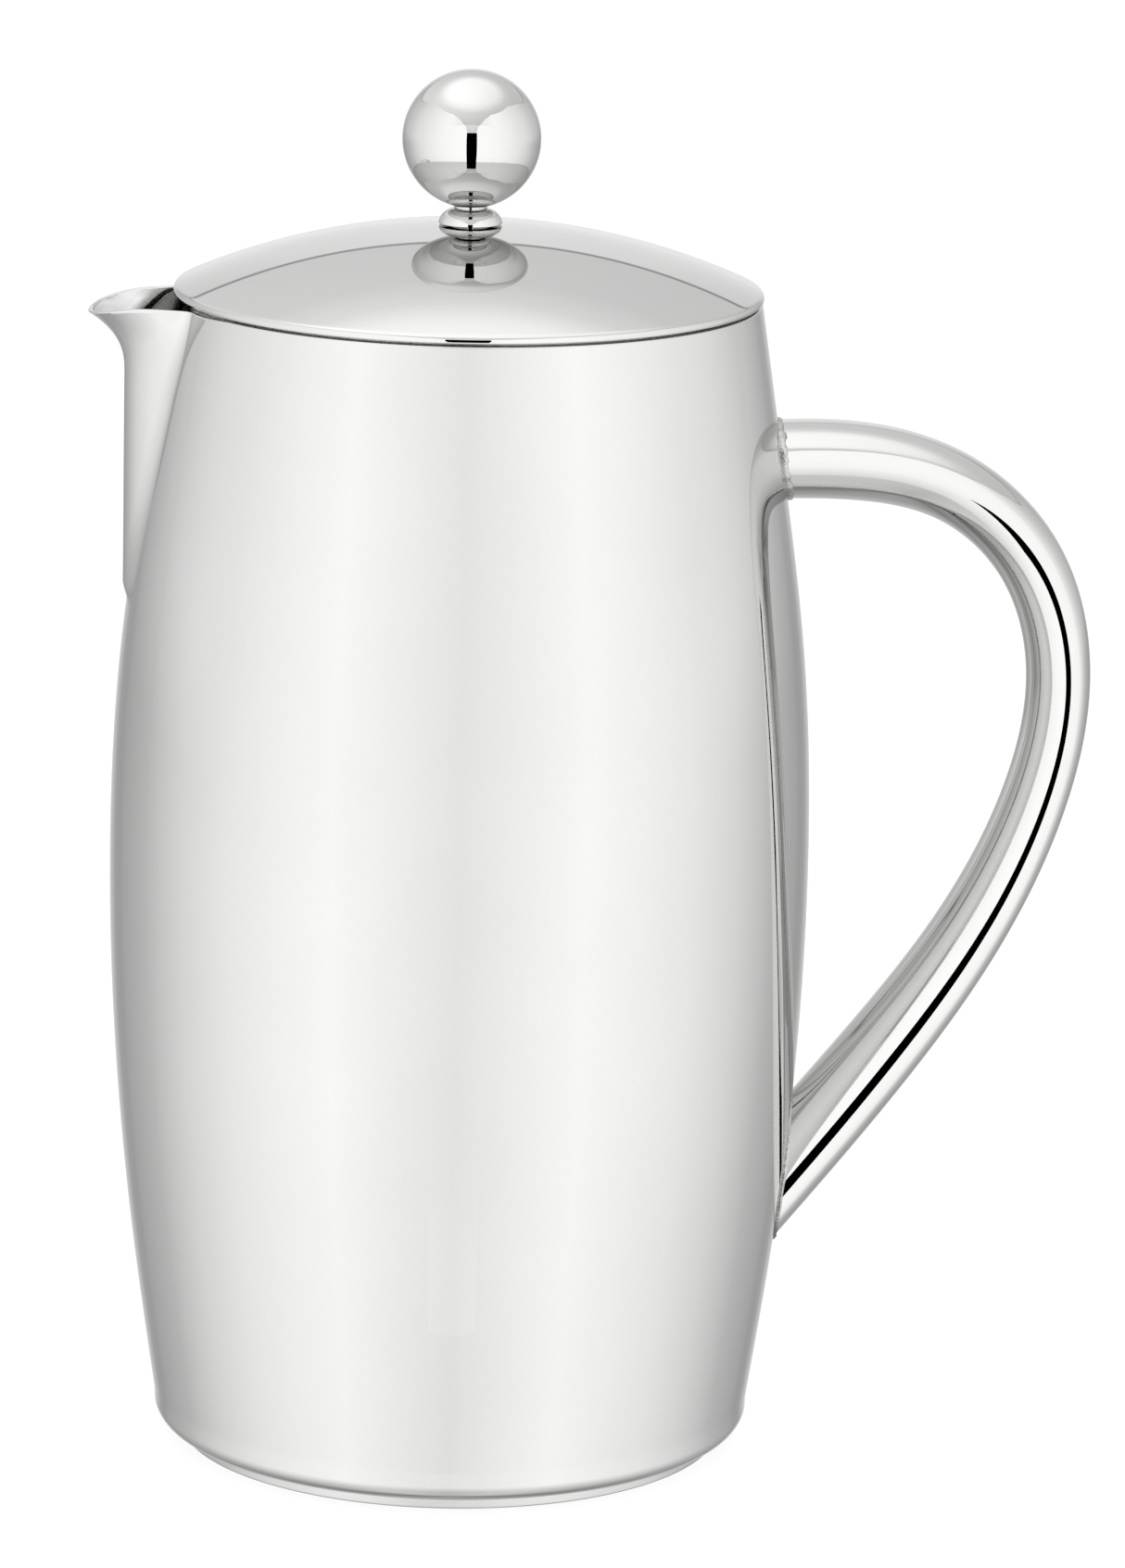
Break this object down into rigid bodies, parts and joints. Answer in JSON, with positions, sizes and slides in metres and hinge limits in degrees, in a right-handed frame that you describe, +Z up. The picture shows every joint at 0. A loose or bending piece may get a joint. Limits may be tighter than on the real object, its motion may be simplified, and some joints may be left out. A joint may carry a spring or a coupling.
{
  "type": "french press",
  "caption": "Double-wall steel french press: barrel-shaped pot with welded spout and loop handle, domed lid, ball-knob plunger and mesh filter.",
  "frame": {"origin": "centre of the foot ring, on the surface the pot stands on", "axes": "+Z up along the pot's axis, +X towards the handle, -X towards the spout"},
  "size_m": [0.1618, 0.112, 0.2223],
  "materials": {
    "polished_steel": "mirror polished stainless steel",
    "satin_steel": "satin stainless steel",
    "weld_steel": "polished weld bead",
    "rod_steel": "polished rod",
    "spring_steel": "drawn wire",
    "plate_steel": "pressed sheet",
    "mesh_steel": "fine woven wire"
  },
  "bodies": {
    "vessel": {"outer_shell": "polished_steel", "inner_liner": "satin_steel", "base_pan": "polished_steel", "pouring_spout": "polished_steel", "spout_throat": "satin_steel", "spout_seam": "weld_steel", "handle": "polished_steel", "handle_upper_weld": "weld_steel", "handle_lower_weld": "weld_steel"},
    "lid": {"lid_cap": "polished_steel", "lid_skirt": "satin_steel", "lid_plate": "satin_steel"},
    "bush": {"rod_bush": "polished_steel", "bush_clip": "spring_steel"},
    "plunger": {"knob_ball": "polished_steel", "knob_insert": "satin_steel", "plunger_rod": "rod_steel", "stop_washer": "satin_steel", "spring_plate": "plate_steel", "filter_spring": "spring_steel", "filter_mesh": "mesh_steel", "cross_plate": "plate_steel", "filter_hub": "rod_steel"}
  },
  "joints": [
    {"name": "lid_lift", "type": "slide", "parent": "vessel", "child": "lid", "axis": [0, 0, 1], "range_m": [0, 0.182]},
    {"name": "plunger_turn", "type": "hinge", "parent": "lid", "child": "bush", "pos_m": [0, 0, 0.19], "axis": [0, 0, 1], "continuous": true},
    {"name": "plunger_slide", "type": "slide", "parent": "bush", "child": "plunger", "axis": [0, 0, 1], "range_m": [0, 0.14]}
  ]
}
